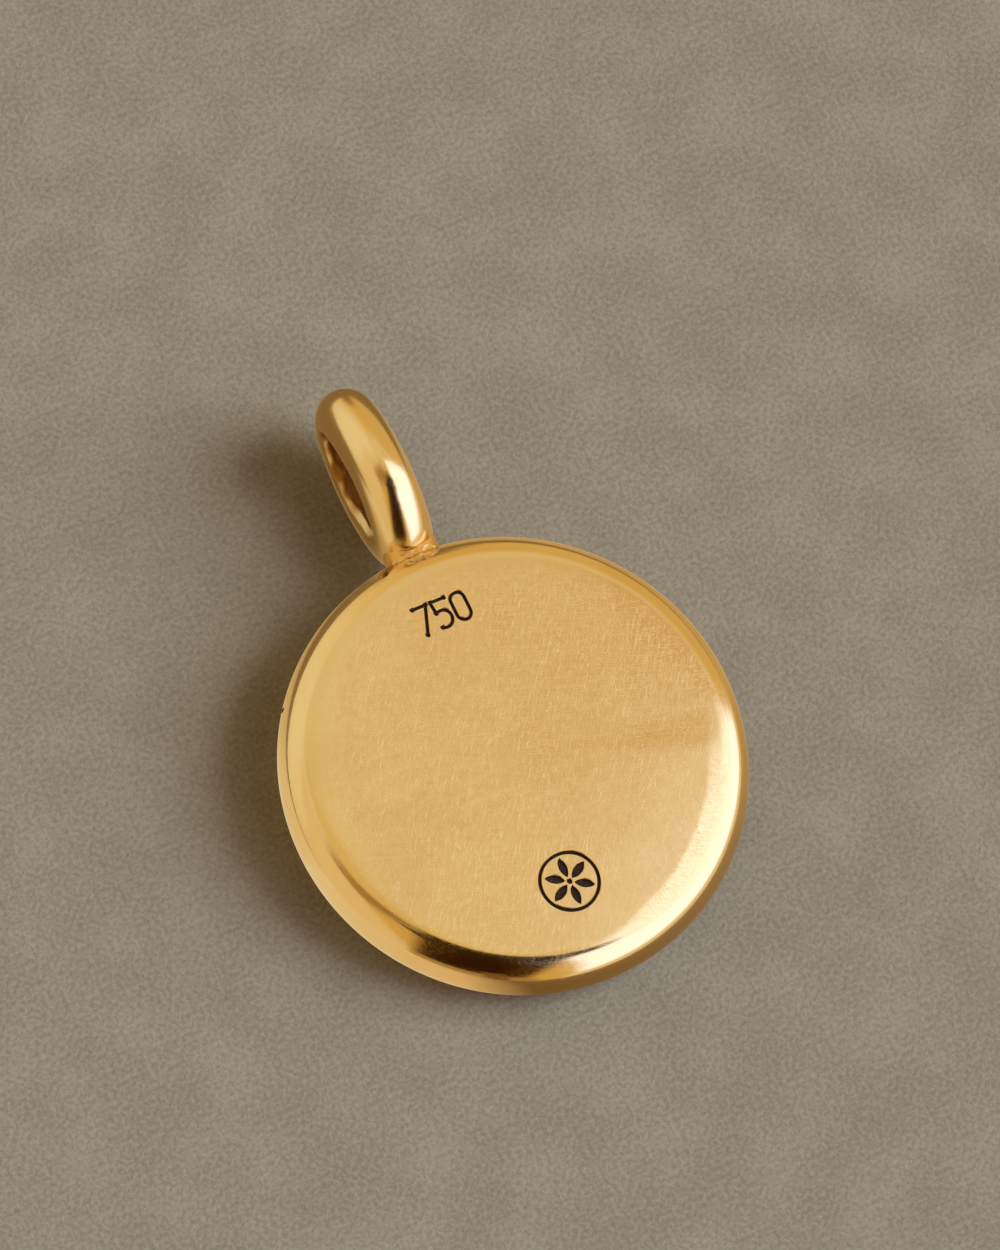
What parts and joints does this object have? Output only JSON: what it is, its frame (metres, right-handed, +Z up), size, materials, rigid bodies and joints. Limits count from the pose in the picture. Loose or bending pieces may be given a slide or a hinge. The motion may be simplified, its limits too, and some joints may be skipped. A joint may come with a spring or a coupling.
{
  "type": "coin pendant",
  "caption": "Thick round gold disc pendant with a full round rim, a plain polished back with small punched marks, and an oval half-round bail soldered across its edge.",
  "frame": {"origin": "middle of the pendant's box on the surface that it rests on", "axes": "+Z up, out of the disc's back; +Y along the pendant from the disc to the bail; +X across, along the way a chain passes through the bail"},
  "size_m": [0.016, 0.0224, 0.0046],
  "materials": {
    "gold": "polished yellow gold, with fine scratches and dark punched recesses"
  },
  "bodies": {
    "root": {"pendant": "gold"}
  },
  "joints": []
}
